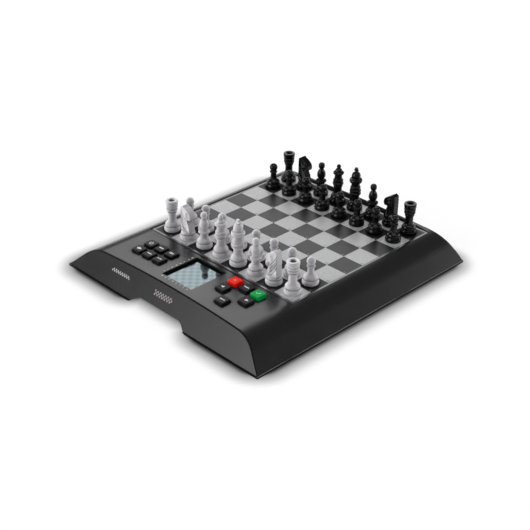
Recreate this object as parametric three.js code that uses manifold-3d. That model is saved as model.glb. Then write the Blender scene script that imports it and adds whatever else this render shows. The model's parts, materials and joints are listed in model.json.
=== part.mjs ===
// Electronic chess computer with a sensor board, twelve keys, a display and a full chess set.
// Millimetres, +Z up. The origin is on the table under the middle of the housing, the control
// panel faces -Y and the a-file is towards -X.
import * as THREE from 'three';
import { mergeVertices } from 'three/addons/utils/BufferGeometryUtils.js';
import Module from 'manifold-3d';

const wasm = await Module();
wasm.setup();

// ---- driving dimensions -------------------------------------------------------------------
const SQUARE = 25;
const FIELD = 8 * SQUARE;
const BOARD_TOP = 26.5;
const BOARD_Y = 33.25;

const BASE_WIDTH = 279.5;
const BASE_DEPTH = 304;
const FOOT_HEIGHT = 0.4;
const PARTING_Z = 2.2;

const CROWN_Z = 29.4;
const CROWN_RADIUS = 2000;
const CROWN_HALF_WIDTH = 98;
const CROWN_STEPS = 3;
const SHOULDER_RADIUS = 40.6;
const SHOULDER_STEPS = 5;
const FLANK_ANGLE = THREE.MathUtils.degToRad(44);
const WALL = 2.5;
const FRONT_FOOT_Y = -152.25;
const FRONT_LEAN = 17.25 / CROWN_Z;
const BACK_Y = 151.6;
// How far the back face has stepped in from BACK_Y at each height.
const BACK_STEPS = [[0, 7.5], [2.3, 14], [4.7, 20], [9.6, CROWN_Z]];
const BACK_TOP_STEP = 13.1;
const OVER_CROWN = 5;
const FAR = 170;
const FLOOR_TOP_Z = 3.2;
const LIP_TOP_Z = 5.5;

const CLEARANCE = 0.3;
const STACK_GAP = 0.1;

const RECESS_HALF = 103;
const RECESS_FLOOR_Z = 24.3;
const RECESS_SLAB_Z = 21.9;
const RAMP_RUN_PER_RISE = 1.7;
const RAMP_RISE_OVER_CROWN = 2;
const SLAB_MARGIN = 3;
const BOARD_THICKNESS = 1.4;
const BOARD_SIDE_GAP = 0.5;

const MEMBRANE_MARGIN = 1.5;
const TAIL_WIDTH = 20;
const TAIL_THICKNESS = 0.8;
const TAIL_FROM_EDGE = 4;
const TAIL_FOOT_Z = 12;
const TAIL_SLOT_WIDTH = 22;
const TAIL_SLOT_DEPTH = 4;

const WINDOW_WIDTH = 42.5;
const WINDOW_DEPTH = 45.5;
const WINDOW_Y = -101.25;
const LCD_LIP = 3.5;
const LCD_THICKNESS = 3;

const KEY_SIZE = 12.3;
const KEY_PITCH = 15.7;
const KEY_TRAVEL = 1.2;
const KEY_PROUD = 2.6;
const TALL_KEY_PROUD = 3.4;
const KEY_FOOT_Z = 22.2;
const KEY_FLANGE = 1;
const KEY_TAPER = 0.9;
const KEY_TAPER_START = 0.5;
const LEFT_CLUSTER = { x: -57.9, y: -101.9 };
const RIGHT_CLUSTER = { x: 56.5, y: -100.7 };

const BOARD_PCB_Z = 17;
const PCB_THICKNESS = 1.6;
const PCB_HALF_WIDTH = 82;
const PCB_FRONT_Y = -129;
const PCB_BACK_Y = -74;
const POST_X = 20;
const POST_Y = 18;
const POST_RADIUS = 2;
const PROCESSOR_SIZE = 18;
const PROCESSOR_Y = -103;
const PROCESSOR_HEIGHT = 2;
const BUZZER_PLACE = [30, -118];
const BUZZER_RADIUS = 8;
const BUZZER_HEIGHT = 5;
const SUNK = 0.5;
const MAT_THICKNESS = 1.2;
const MAT_EDGES = { left: -80, right: 82, front: -127.5, back: -76 };
const MAT_OPENING = { half: 24.5, front: -123, back: -80 };
const DOME_RADIUS = 3.5;
const DOME_GAP = 0.2;

const GRIP_HALF_TOP = 31;
const GRIP_HALF_BOTTOM = 42;
const GRIP_HEIGHT = 8.3;
const GRIP_CORNER = 1.6;
const GRIP_CORNER_DROP = 2;
const GRIP_FLARE = 2.5;
const GRIP_FLARE_Z = 1;
const GRIP_BACK_Y = -126;
const GRIP_WALL = 1.6;

const CELL_RADIUS = 7.1;
const CELL_LENGTH = 50.5;
const CELL_BUTTON = 0.7;
const CELL_BUTTON_RADIUS = 2.7;
const CELL_COUNT = 3;
const CELL_PITCH = 15;
const CELL_Z = 10;
const WELL_Y = 60;
const WELL_WIDTH = 56;
const WELL_DEPTH = 46.5;
const WELL_ROOF_Z = 17.5;
const COVER_WIDTH = 62;
const COVER_DEPTH = 52.5;
const COVER_THICKNESS = 1.6;
const NOTCH_HALF_WIDTH = 8;
const NOTCH_LENGTH = 3;
const NOTCH_DEPTH = 0.8;

const SOCKET_X = -95;
const SOCKET_Z = 11;
const SOCKET_RADIUS = 4.6;
const SOCKET_MOUTH_Y = 150.6;
const SOCKET_LENGTH = 13;
const SOCKET_BORE_RADIUS = 2.9;
const SOCKET_BORE_DEPTH = 9;
const PIN_RADIUS = 0.9;
const PIN_SETBACK = 1.5;

const FOOT_RADIUS = 6;
const FOOT_SEAT_DEPTH = 0.8;
const FOOT_CHAMFER = 0.4;
const FOOT_PLACES = {
  front_left: [-118, -128],
  front_right: [118, -128],
  back_left: [-118, 132],
  back_right: [118, 132],
};
const ROUND_SIDES = 16;
const PIECE_SIDES = 12;
const PIECE_GAP = 0.1;

// ---- materials ----------------------------------------------------------------------------
const BLACK_PLASTIC = '#1b1b1c';
const RED_PLASTIC = '#d8281f';
const GREEN_PLASTIC = '#12994e';

function plastic(color, roughness, metalness = 0) {
  return new THREE.MeshStandardMaterial({ color, roughness, metalness });
}

// ---- solids: closed geometries joined and cut ---------------------------------------------
function toSolid(geometry) {
  const bare = geometry.clone();
  bare.deleteAttribute('normal');
  bare.deleteAttribute('uv');
  const merged = mergeVertices(bare, 1e-4);
  const mesh = new wasm.Mesh({
    numProp: 3,
    vertProperties: new Float32Array(merged.attributes.position.array),
    triVerts: new Uint32Array(merged.index.array),
  });
  return new wasm.Manifold(mesh);
}

function toGeometry(solid) {
  const mesh = solid.getMesh();
  const geometry = new THREE.BufferGeometry();
  const positions = new Float32Array(mesh.vertProperties);
  geometry.setAttribute('position', new THREE.BufferAttribute(positions, 3));
  geometry.setIndex(new THREE.BufferAttribute(new Uint32Array(mesh.triVerts), 1));
  geometry.computeVertexNormals();
  return geometry;
}

const join = (first, ...rest) => rest.reduce((solid, next) => solid.add(next), first);
const cut = (first, ...rest) => rest.reduce((solid, next) => solid.subtract(next), first);

// A box between two corners.
function block(x0, x1, y0, y1, z0, z1) {
  const geometry = new THREE.BoxGeometry(x1 - x0, y1 - y0, z1 - z0);
  geometry.translate((x0 + x1) / 2, (y0 + y1) / 2, (z0 + z1) / 2);
  return toSolid(geometry);
}

// A square-section taper standing on z0, given by its half widths at both ends.
function squareTaper(halfBottom, halfTop, x, y, z0, z1) {
  const corner = Math.SQRT2;
  const geometry = new THREE.CylinderGeometry(halfTop * corner, halfBottom * corner, z1 - z0, 4);
  geometry.rotateY(Math.PI / 4);
  geometry.rotateX(Math.PI / 2);
  geometry.translate(x, y, (z0 + z1) / 2);
  return toSolid(geometry);
}

// An upright round bar.
function bar(radius, x, y, z0, z1, sides = ROUND_SIDES) {
  const geometry = new THREE.CylinderGeometry(radius, radius, z1 - z0, sides);
  geometry.rotateX(Math.PI / 2);
  geometry.translate(x, y, (z0 + z1) / 2);
  return toSolid(geometry);
}

// A round bar lying along Y.
function barAlongY(radius, x, z, y0, y1, sides = ROUND_SIDES) {
  const geometry = new THREE.CylinderGeometry(radius, radius, y1 - y0, sides);
  geometry.translate(x, (y0 + y1) / 2, z);
  return toSolid(geometry);
}

// An outline in X and Z, run along Y from y0 to y1.
function alongY(points, y0, y1) {
  const shape = new THREE.Shape(points.map(([x, z]) => new THREE.Vector2(x, z)));
  const geometry = new THREE.ExtrudeGeometry(shape, { depth: y1 - y0, bevelEnabled: false });
  geometry.rotateX(Math.PI / 2);
  geometry.translate(0, y1, 0);
  return toSolid(geometry);
}

// An outline in Y and Z, run along X from x0 to x1.
function alongX(points, x0, x1) {
  const shape = new THREE.Shape(points.map(([y, z]) => new THREE.Vector2(y, z)));
  const geometry = new THREE.ExtrudeGeometry(shape, { depth: x1 - x0, bevelEnabled: false });
  geometry.rotateX(Math.PI / 2);
  geometry.rotateZ(Math.PI / 2);
  geometry.translate(x0, 0, 0);
  return toSolid(geometry);
}

// A turned solid on the Z axis: radius and height pairs from the bottom middle to the top middle.
function turned(profile, sides) {
  const points = profile.map(([radius, z]) => new THREE.Vector2(radius, z));
  const geometry = new THREE.LatheGeometry(points, sides);
  geometry.rotateX(Math.PI / 2);
  return toSolid(geometry);
}

// ---- housing outlines ---------------------------------------------------------------------
const crownZ = (x) => CROWN_Z - (x * x) / (2 * CROWN_RADIUS);

// Half of the arch: a nearly flat crown, a round shoulder, and a straight flank down to z.
function archOutline(inset, bottomZ) {
  const crownAngle = Math.asin(CROWN_HALF_WIDTH / CROWN_RADIUS);
  const crownCentreZ = CROWN_Z - CROWN_RADIUS;
  const shoulderX = (CROWN_RADIUS - SHOULDER_RADIUS) * Math.sin(crownAngle);
  const shoulderZ = crownCentreZ + (CROWN_RADIUS - SHOULDER_RADIUS) * Math.cos(crownAngle);
  const half = [];
  for (let i = 0; i <= CROWN_STEPS; i += 1) {
    const angle = (crownAngle * i) / CROWN_STEPS;
    const radius = CROWN_RADIUS - inset;
    half.push([radius * Math.sin(angle), crownCentreZ + radius * Math.cos(angle)]);
  }
  for (let i = 1; i <= SHOULDER_STEPS; i += 1) {
    const angle = crownAngle + ((FLANK_ANGLE - crownAngle) * i) / SHOULDER_STEPS;
    const radius = SHOULDER_RADIUS - inset;
    half.push([shoulderX + radius * Math.sin(angle), shoulderZ + radius * Math.cos(angle)]);
  }
  const [endX, endZ] = half[half.length - 1];
  half.push([endX + (endZ - bottomZ) / Math.tan(FLANK_ANGLE), bottomZ]);
  const left = half.slice(1).map(([x, z]) => [-x, z]).reverse();
  return [...left, ...half].reverse();
}

// The side view: a leaning front face and a back face that steepens towards the table.
function sideOutline(inset, bottomZ) {
  const top = CROWN_Z + OVER_CROWN;
  const frontInset = inset * Math.hypot(1, FRONT_LEAN);
  const front = (z) => FRONT_FOOT_Y + FRONT_LEAN * z + frontInset;
  return [
    [front(bottomZ), bottomZ],
    [BACK_Y - inset, bottomZ],
    ...BACK_STEPS.map(([step, z]) => [BACK_Y - step - inset, z]),
    [BACK_Y - BACK_TOP_STEP - inset, top],
    [front(top), top],
  ];
}

function housingSolid(inset, bottomZ) {
  const arch = alongY(archOutline(inset, bottomZ), -FAR, FAR);
  return arch.intersect(alongX(sideOutline(inset, bottomZ), -FAR, FAR));
}

// The finger grip under the front edge.
function gripSolid(grow, backY) {
  const wide = GRIP_HALF_BOTTOM + grow;
  const narrow = GRIP_HALF_TOP + grow;
  const roof = GRIP_HEIGHT + grow;
  const right = [
    [wide, -1],
    [wide - GRIP_FLARE, GRIP_FLARE_Z],
    [narrow + GRIP_CORNER, roof - GRIP_CORNER_DROP],
    [narrow - GRIP_CORNER, roof],
  ];
  const left = right.map(([x, z]) => [-x, z]).reverse();
  return alongY([...right, ...left], -FAR, backY);
}

// ---- keys ---------------------------------------------------------------------------------
// A key's place is its cluster's middle plus columns and rows of the key pitch.
function key(cluster, column, row, proud = KEY_PROUD, color = BLACK_PLASTIC) {
  return { x: cluster.x + column * KEY_PITCH, y: cluster.y + row * KEY_PITCH, proud, color };
}

const KEYS = {
  key_power: key(LEFT_CLUSTER, -1, 0.5),
  key_function_1: key(LEFT_CLUSTER, 0, 0.5),
  key_function_2: key(LEFT_CLUSTER, 1, 0.5),
  key_play: key(LEFT_CLUSTER, -1, -0.5),
  key_function_3: key(LEFT_CLUSTER, 0, -0.5),
  key_function_4: key(LEFT_CLUSTER, 1, -0.5),
  key_red: key(RIGHT_CLUSTER, -1, 1, TALL_KEY_PROUD, RED_PLASTIC),
  key_up: key(RIGHT_CLUSTER, 0, 1),
  key_green: key(RIGHT_CLUSTER, 1, 1, TALL_KEY_PROUD, GREEN_PLASTIC),
  key_left: key(RIGHT_CLUSTER, -1, 0),
  key_right: key(RIGHT_CLUSTER, 1, 0),
  key_down: key(RIGHT_CLUSTER, 0, -1),
};

// Four walls, a tapered cap, and a flange that the panel holds down.
function keySolid(proud, x) {
  const surface = crownZ(x);
  const half = KEY_SIZE / 2;
  const reach = half + KEY_FLANGE;
  const flangeTop = crownZ(Math.abs(x) + reach) - WALL - CLEARANCE;
  const taperZ = surface + KEY_TAPER_START;
  const shaft = squareTaper(half, half, 0, 0, KEY_FOOT_Z, taperZ);
  const cap = squareTaper(half, half - KEY_TAPER, 0, 0, taperZ, surface + proud);
  const flange = squareTaper(reach, reach, 0, 0, flangeTop - KEY_FLANGE, flangeTop);
  return join(shaft, cap, flange);
}

// ---- housing parts ------------------------------------------------------------------------
// A box centred on a place in X and Y, given by its whole width and depth.
function centredBlock(width, depth, x, y, z0, z1) {
  return block(x - width / 2, x + width / 2, y - depth / 2, y + depth / 2, z0, z1);
}

function topHousing() {
  const slabSize = 2 * (RECESS_HALF + SLAB_MARGIN);
  const slab = centredBlock(slabSize, slabSize, 0, BOARD_Y, RECESS_SLAB_Z, BOARD_TOP);
  const slabInside = slab.intersect(housingSolid(WALL / 5, PARTING_Z));
  const shell = join(cut(housingSolid(0, PARTING_Z), housingSolid(WALL, -1)), slabInside);
  const rampTop = CROWN_Z + RAMP_RISE_OVER_CROWN;
  const rampHalf = RECESS_HALF + (rampTop - BOARD_TOP) * RAMP_RUN_PER_RISE;
  const pocket = join(
    squareTaper(RECESS_HALF, RECESS_HALF, 0, BOARD_Y, RECESS_FLOOR_Z, BOARD_TOP),
    squareTaper(RECESS_HALF, rampHalf, 0, BOARD_Y, BOARD_TOP, rampTop),
  );
  const tailY = BOARD_Y - FIELD / 2 + TAIL_FROM_EDGE;
  const tailSlot = centredBlock(TAIL_SLOT_WIDTH, TAIL_SLOT_DEPTH, 0, tailY, RECESS_SLAB_Z - 2, BOARD_TOP);
  const window = centredBlock(WINDOW_WIDTH, WINDOW_DEPTH, 0, WINDOW_Y, 20, 40);
  const keyHalf = KEY_SIZE / 2 + CLEARANCE;
  const keyHoles = Object.values(KEYS).map(({ x, y }) => squareTaper(keyHalf, keyHalf, x, y, 20, 40));
  const socketHole = barAlongY(SOCKET_RADIUS + CLEARANCE, SOCKET_X, SOCKET_Z, 140, 160);
  return cut(shell, pocket, tailSlot, window, ...keyHoles, socketHole, gripSolid(0, GRIP_BACK_Y));
}

function bottomHousing() {
  const edgeTop = PARTING_Z - STACK_GAP;
  const edge = centredBlock(BASE_WIDTH, BASE_DEPTH, 0, 0, FOOT_HEIGHT, edgeTop);
  const inset = WALL + CLEARANCE;
  const inside = housingSolid(inset, 0);
  const floor = centredBlock(2 * FAR, 2 * FAR, 0, 0, FOOT_HEIGHT, FLOOR_TOP_Z).intersect(inside);
  const lipBand = centredBlock(2 * FAR, 2 * FAR, 0, 0, edgeTop - STACK_GAP, LIP_TOP_Z).intersect(inside);
  const lip = cut(lipBand, housingSolid(2 * WALL, -1));
  const wellTop = WELL_ROOF_Z + GRIP_WALL;
  const wellWidth = WELL_WIDTH + 2 * GRIP_WALL;
  const wellDepth = WELL_DEPTH + 2 * GRIP_WALL;
  const well = centredBlock(wellWidth, wellDepth, 0, WELL_Y, FOOT_HEIGHT, wellTop);
  const wellInside = centredBlock(WELL_WIDTH, WELL_DEPTH, 0, WELL_Y, -1, WELL_ROOF_Z);
  const seatTop = FOOT_HEIGHT + COVER_THICKNESS + STACK_GAP;
  const coverSeat = centredBlock(COVER_WIDTH, COVER_DEPTH, 0, WELL_Y, -1, seatTop);
  const gripBlock = gripSolid(GRIP_WALL, GRIP_BACK_Y + GRIP_WALL);
  const gripRoof = gripBlock.intersect(housingSolid(inset, FOOT_HEIGHT));
  const footRadius = FOOT_RADIUS + CLEARANCE;
  const footTop = FOOT_HEIGHT + FOOT_SEAT_DEPTH;
  const footSeats = Object.values(FOOT_PLACES).map(([x, y]) => bar(footRadius, x, y, -1, footTop));
  const body = join(edge, floor, lip, well, gripRoof);
  return cut(body, wellInside, coverSeat, gripSolid(0, GRIP_BACK_Y), ...footSeats);
}

function batteryCover() {
  const width = COVER_WIDTH - 2 * CLEARANCE;
  const depth = COVER_DEPTH - 2 * CLEARANCE;
  const plate = centredBlock(width, depth, 0, WELL_Y, FOOT_HEIGHT, FOOT_HEIGHT + COVER_THICKNESS);
  const frontY = WELL_Y - COVER_DEPTH / 2;
  const notchTop = FOOT_HEIGHT + NOTCH_DEPTH;
  const notch = block(-NOTCH_HALF_WIDTH, NOTCH_HALF_WIDTH, frontY, frontY + NOTCH_LENGTH, 0, notchTop);
  return cut(plate, notch);
}

function playingBoard() {
  const size = 2 * (RECESS_HALF - BOARD_SIDE_GAP);
  return centredBlock(size, size, 0, BOARD_Y, BOARD_TOP - BOARD_THICKNESS, BOARD_TOP);
}

function sensorMembrane() {
  const size = FIELD + 2 * MEMBRANE_MARGIN;
  const top = BOARD_TOP - BOARD_THICKNESS - STACK_GAP;
  const sheet = centredBlock(size, size, 0, BOARD_Y, RECESS_FLOOR_Z + STACK_GAP, top);
  const tailY = BOARD_Y - FIELD / 2 + TAIL_FROM_EDGE;
  return join(sheet, centredBlock(TAIL_WIDTH, TAIL_THICKNESS, 0, tailY, TAIL_FOOT_Z, top));
}

const LCD_TOP_Z = crownZ(WINDOW_WIDTH / 2 + 4) - WALL - CLEARANCE;

function lcdPanel() {
  const width = WINDOW_WIDTH + 2 * LCD_LIP;
  const depth = WINDOW_DEPTH + 2 * LCD_LIP;
  return centredBlock(width, depth, 0, WINDOW_Y, LCD_TOP_Z - LCD_THICKNESS, LCD_TOP_Z);
}

// The board stands on four posts under the display and carries a processor and a buzzer.
function mainCircuitBoard() {
  const top = BOARD_PCB_Z + PCB_THICKNESS;
  const board = block(-PCB_HALF_WIDTH, PCB_HALF_WIDTH, PCB_FRONT_Y, PCB_BACK_Y, BOARD_PCB_Z, top);
  const postTop = LCD_TOP_Z - LCD_THICKNESS - STACK_GAP;
  const corners = [[-1, -1], [-1, 1], [1, -1], [1, 1]];
  const posts = corners.map(([sx, sy]) => {
    return bar(POST_RADIUS, sx * POST_X, WINDOW_Y + sy * POST_Y, top - SUNK, postTop, 8);
  });
  const size = PROCESSOR_SIZE;
  const processor = centredBlock(size, size, 0, PROCESSOR_Y, top - SUNK, top + PROCESSOR_HEIGHT);
  const buzzerFoot = BOARD_PCB_Z - BUZZER_HEIGHT;
  const buzzer = bar(BUZZER_RADIUS, ...BUZZER_PLACE, buzzerFoot, BOARD_PCB_Z + SUNK);
  return join(board, ...posts, processor, buzzer);
}

// One rubber mat with a dome under each key and an opening for the display.
function keyContactMat() {
  const z0 = BOARD_PCB_Z + PCB_THICKNESS + STACK_GAP;
  const { left, right, front, back } = MAT_EDGES;
  const mat = block(left, right, front, back, z0, z0 + MAT_THICKNESS);
  const hole = MAT_OPENING;
  const opening = block(-hole.half, hole.half, hole.front, hole.back, z0 - 1, z0 + 5);
  const domeTop = KEY_FOOT_Z - KEY_TRAVEL - DOME_GAP;
  const domes = Object.values(KEYS).map(({ x, y }) => bar(DOME_RADIUS, x, y, z0 + SUNK, domeTop, 8));
  return join(cut(mat, opening), ...domes);
}

function batteryCell() {
  const length = CELL_LENGTH - 2 * CELL_BUTTON;
  const body = toSolid(new THREE.CylinderGeometry(CELL_RADIUS, CELL_RADIUS, length, ROUND_SIDES));
  const button = new THREE.CylinderGeometry(CELL_BUTTON_RADIUS, CELL_BUTTON_RADIUS, 2, PIECE_SIDES);
  button.translate(0, CELL_LENGTH / 2 - CELL_BUTTON, 0);
  const cell = toGeometry(join(body, toSolid(button)));
  cell.rotateZ(Math.PI / 2);
  return cell;
}

// A barrel inlet flush with the back wall: an open tube with its centre pin.
function powerSocket() {
  const mouth = SOCKET_MOUTH_Y;
  const profile = [
    [0, mouth - SOCKET_LENGTH], [SOCKET_RADIUS, mouth - SOCKET_LENGTH], [SOCKET_RADIUS, mouth],
    [SOCKET_BORE_RADIUS, mouth], [SOCKET_BORE_RADIUS, mouth - SOCKET_BORE_DEPTH],
    [PIN_RADIUS, mouth - SOCKET_BORE_DEPTH], [PIN_RADIUS, mouth - PIN_SETBACK], [0, mouth - PIN_SETBACK],
  ];
  const points = profile.map(([radius, y]) => new THREE.Vector2(radius, y));
  const geometry = new THREE.LatheGeometry(points, ROUND_SIDES);
  geometry.translate(SOCKET_X, 0, SOCKET_Z);
  return toSolid(geometry);
}

function rubberFoot() {
  const top = FOOT_HEIGHT + FOOT_SEAT_DEPTH - STACK_GAP;
  const profile = [
    [0, 0], [FOOT_RADIUS - FOOT_CHAMFER, 0], [FOOT_RADIUS, FOOT_CHAMFER], [FOOT_RADIUS, top], [0, top],
  ];
  return turned(profile, ROUND_SIDES);
}

// ---- chess pieces: turned outlines as [radius, height] ------------------------------------
const PAWN = [
  [0, 0], [8.4, 0], [8.4, 3.2], [7.3, 5.5], [7.1, 7.4], [6.2, 8.9], [3.7, 11], [3.1, 17.8],
  [4.3, 19], [3.1, 20.4], [4.5, 24.3], [3.2, 27.5], [0, 28.8],
];
const ROOK = [
  [0, 0], [8.6, 0], [8.6, 3.2], [7.5, 5.5], [7.3, 7.6], [6.4, 9.2], [4.5, 11.4], [4.1, 19.6],
  [5.1, 21], [6, 24.6], [6.6, 31], [6.6, 34.4], [3.9, 34.4], [3.1, 31], [0, 30.8],
];
const BISHOP = [
  [0, 0], [8.4, 0], [8.4, 3.2], [7.3, 5.5], [7.1, 7.4], [6.2, 8.8], [4.3, 11], [3.9, 15.2],
  [6.1, 17], [3.6, 19.4], [4.8, 24.4], [4, 28.6], [2.2, 31.6], [3.6, 35], [2.2, 38.8], [0, 38.8],
];
const QUEEN = [
  [0, 0], [8.7, 0], [8.7, 3.2], [7.6, 5.5], [7.4, 7.8], [6.5, 9.4], [4.7, 11.6], [4.4, 18.2],
  [6, 23.2], [5.5, 27.2], [4.2, 29.4], [4.2, 31.6], [6, 36], [4.2, 38.2], [1.8, 40.6], [2.4, 42.8],
  [0, 45],
];
const KING = [
  [0, 0], [8.8, 0], [8.8, 3.2], [7.7, 5.5], [7.5, 7.8], [6.7, 9.4], [5, 11.6], [4.7, 17.6],
  [6.3, 20], [6.1, 23.8], [5.5, 27.4], [4.6, 28.4], [4.6, 30.6], [7, 34.4], [6.4, 36.6],
  [4.9, 37.8], [4.9, 41.2], [3.9, 43.2], [0, 44.6],
];
const KNIGHT_BASE = [[0, 0], [8.6, 0], [8.6, 3.2], [7.5, 5.5], [7.3, 7.4], [6.2, 8.8], [0, 9]];

// The horse's head from the side: the nose towards +X, the straight mane towards -X.
const KNIGHT_HEAD = [
  [-6.8, 8.4], [6.2, 8.4], [6.4, 11], [5.2, 16], [2.8, 20], [2.6, 22.6], [6.2, 22.6],
  [7.4, 24.6], [7.3, 28.4], [5.6, 31], [-2, 35.4], [-3.4, 37], [-6.5, 35], [-6.9, 30],
];
const KNIGHT_THICKNESS = 7.6;

// The small cross on the king's dome, seen from the front.
const CROSS = [
  [-1.3, 43.4], [1.3, 43.4], [0.9, 45.6], [2.3, 45.3], [2.3, 47.6], [1.2, 47.3], [1.7, 49.5],
  [-1.7, 49.5], [-1.2, 47.3], [-2.3, 47.6], [-2.3, 45.3], [-0.9, 45.6],
];
const CROSS_THICKNESS = 2.2;

function knight() {
  const head = alongY(KNIGHT_HEAD, -KNIGHT_THICKNESS / 2, KNIGHT_THICKNESS / 2);
  return join(turned(KNIGHT_BASE, PIECE_SIDES), head);
}

function king() {
  const cross = alongY(CROSS, -CROSS_THICKNESS / 2, CROSS_THICKNESS / 2);
  return join(turned(KING, PIECE_SIDES), cross);
}

// ---- assembly -----------------------------------------------------------------------------
const group = new THREE.Group();

function place(name, geometry, material, x = 0, y = 0, z = 0, turn = 0) {
  const mesh = new THREE.Mesh(geometry, material);
  mesh.name = name;
  mesh.position.set(x, y, z);
  mesh.rotation.z = turn;
  group.add(mesh);
}

place('top_housing', toGeometry(topHousing()), plastic('#4a4a4b', 0.45));
place('bottom_housing', toGeometry(bottomHousing()), plastic('#1d1d1e', 0.55));
place('battery_cover', toGeometry(batteryCover()), plastic('#1d1d1e', 0.55));
place('playing_board', toGeometry(playingBoard()), plastic('#b9b9b9', 0.35, 0.3));
place('sensor_membrane', toGeometry(sensorMembrane()), plastic('#c8b98a', 0.5));
place('lcd_panel', toGeometry(lcdPanel()), plastic('#a9bcc3', 0.1));
place('main_circuit_board', toGeometry(mainCircuitBoard()), plastic('#1f5a38', 0.5));
place('key_contact_mat', toGeometry(keyContactMat()), plastic('#8d8d90', 0.8));
place('power_socket', toGeometry(powerSocket()), plastic('#151515', 0.4));

for (const [name, { x, y, proud, color }] of Object.entries(KEYS)) {
  place(name, toGeometry(keySolid(proud, x)), plastic(color, 0.4), x, y);
}

for (let i = 0; i < CELL_COUNT; i += 1) {
  const y = WELL_Y + (i - (CELL_COUNT - 1) / 2) * CELL_PITCH;
  place(`battery_${i + 1}`, batteryCell(), plastic('#3a6a8a', 0.35, 0.4), 0, y, CELL_Z);
}

for (const [corner, [x, y]] of Object.entries(FOOT_PLACES)) {
  place(`rubber_foot_${corner}`, toGeometry(rubberFoot()), plastic('#0f0f0f', 0.9), x, y);
}

const FILES = 'abcdefgh';
const BACK_RANK = ['rook', 'knight', 'bishop', 'queen', 'king', 'bishop', 'knight', 'rook'];
const PIECES = {
  pawn: turned(PAWN, PIECE_SIDES),
  rook: turned(ROOK, PIECE_SIDES),
  bishop: turned(BISHOP, PIECE_SIDES),
  queen: turned(QUEEN, PIECE_SIDES),
  king: king(),
  knight: knight(),
};
const squareX = (file) => (file - 3.5) * SQUARE;
const squareY = (rank) => BOARD_Y + (rank - 3.5) * SQUARE;
const PIECE_Z = BOARD_TOP + PIECE_GAP;

for (const side of ['white', 'black']) {
  const material = side === 'white' ? plastic('#d9d6d8', 0.45) : plastic('#0b0b0c', 0.15);
  const backY = squareY(side === 'white' ? 0 : 7);
  const pawnY = squareY(side === 'white' ? 1 : 6);
  BACK_RANK.forEach((kind, file) => {
    const single = kind === 'queen' || kind === 'king';
    const name = single ? `${side}_${kind}` : `${side}_${kind}_${FILES[file]}`;
    const turn = kind === 'knight' && file > 3 ? Math.PI : 0;
    place(name, toGeometry(PIECES[kind]), material, squareX(file), backY, PIECE_Z, turn);
    const pawnName = `${side}_pawn_${FILES[file]}`;
    place(pawnName, toGeometry(PIECES.pawn), material, squareX(file), pawnY, PIECE_Z);
  });
}

export default group;
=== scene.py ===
"""Looks for an electronic chess computer and its chess set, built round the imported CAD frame.

Blender works in metres. The shape functions work in millimetres, and MM scales their results.
The control panel faces -Y, the a-file is towards -X, and the table is at Z 0.
"""
import json
import math

import bmesh
import bpy
from mathutils import Matrix, Vector


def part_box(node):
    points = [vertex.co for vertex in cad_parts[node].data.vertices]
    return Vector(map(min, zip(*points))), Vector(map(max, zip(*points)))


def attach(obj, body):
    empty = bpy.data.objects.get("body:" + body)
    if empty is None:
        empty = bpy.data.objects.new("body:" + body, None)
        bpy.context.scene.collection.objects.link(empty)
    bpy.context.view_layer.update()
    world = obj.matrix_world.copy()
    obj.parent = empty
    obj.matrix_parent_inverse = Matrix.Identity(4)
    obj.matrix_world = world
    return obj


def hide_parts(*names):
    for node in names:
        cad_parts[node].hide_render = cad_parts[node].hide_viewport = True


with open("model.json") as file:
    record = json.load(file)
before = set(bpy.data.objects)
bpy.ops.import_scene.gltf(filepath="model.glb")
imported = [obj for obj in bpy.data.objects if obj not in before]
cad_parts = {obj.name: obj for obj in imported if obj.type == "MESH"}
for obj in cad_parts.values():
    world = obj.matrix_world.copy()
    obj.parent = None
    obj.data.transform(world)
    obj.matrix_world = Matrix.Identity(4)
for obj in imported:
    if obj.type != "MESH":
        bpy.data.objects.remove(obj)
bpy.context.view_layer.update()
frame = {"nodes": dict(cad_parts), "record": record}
BODIES = frame["record"]["behaviour"]["bodies"]
BODY_OF = {node: body for body, nodes in BODIES.items() for node in nodes}
MM = 0.001


def box_mm(node):
    """The lowest and highest corner of a CAD node, in millimetres."""
    low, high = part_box(node)
    return low / MM, high / MM


def middle_mm(node):
    """The middle of a CAD node, in millimetres."""
    low, high = box_mm(node)
    return (low + high) / 2


# ---- sizes, in millimetres ----
DECK_LOW, DECK_HIGH = box_mm("top_housing")
BASE_LOW, BASE_HIGH = box_mm("bottom_housing")
BOARD_LOW, BOARD_HIGH = box_mm("playing_board")
DISPLAY_LOW, DISPLAY_HIGH = box_mm("lcd_panel")
COVER_LOW, COVER_HIGH = box_mm("battery_cover")
SOCKET_LOW, SOCKET_HIGH = box_mm("power_socket")

SQUARE = 25.0
BOARD_TOP = BOARD_HIGH.z
BOARD_Y = (BOARD_LOW.y + BOARD_HIGH.y) / 2
FIELD_HALF = 4 * SQUARE

CROWN_Z = DECK_HIGH.z
CROWN_RADIUS = 2000.0
CROWN_HALF_WIDTH = 98.0
SHOULDER_RADIUS = 40.6
FLANK_ANGLE = math.radians(44)
WALL = 2.5
FRONT_LEAN = 17.25 / 29.4
FRONT_FOOT_Y = DECK_LOW.y - FRONT_LEAN * DECK_LOW.z
BACK_Y = DECK_HIGH.y
PARTING_Z = DECK_LOW.z
STACK_GAP = 0.1
CLEARANCE = 0.3
# Further out than any part, for the ends of working solids.
BEYOND = 170.0
# The heights between which holes are cut through the panel.
PANEL_CUT = (18, 40)
# Just under the table, for cutters that open downwards.
BELOW = -1.0
SOCKET_CUT_Y = 140.0

RECESS_HALF = 103.0
RECESS_FLOOR_Z = 24.3
RECESS_SLAB_Z = 21.9
RAMP_RUN_PER_RISE = 1.7
RECESS_RIM = 3.0
RIM_SHADE_WIDTH = 2.4
TAIL_SLOT_HALF_X = 11.0
TAIL_SLOT_HALF_Y = 2.0
TAIL_SLOT_INSET = 4.0

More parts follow.
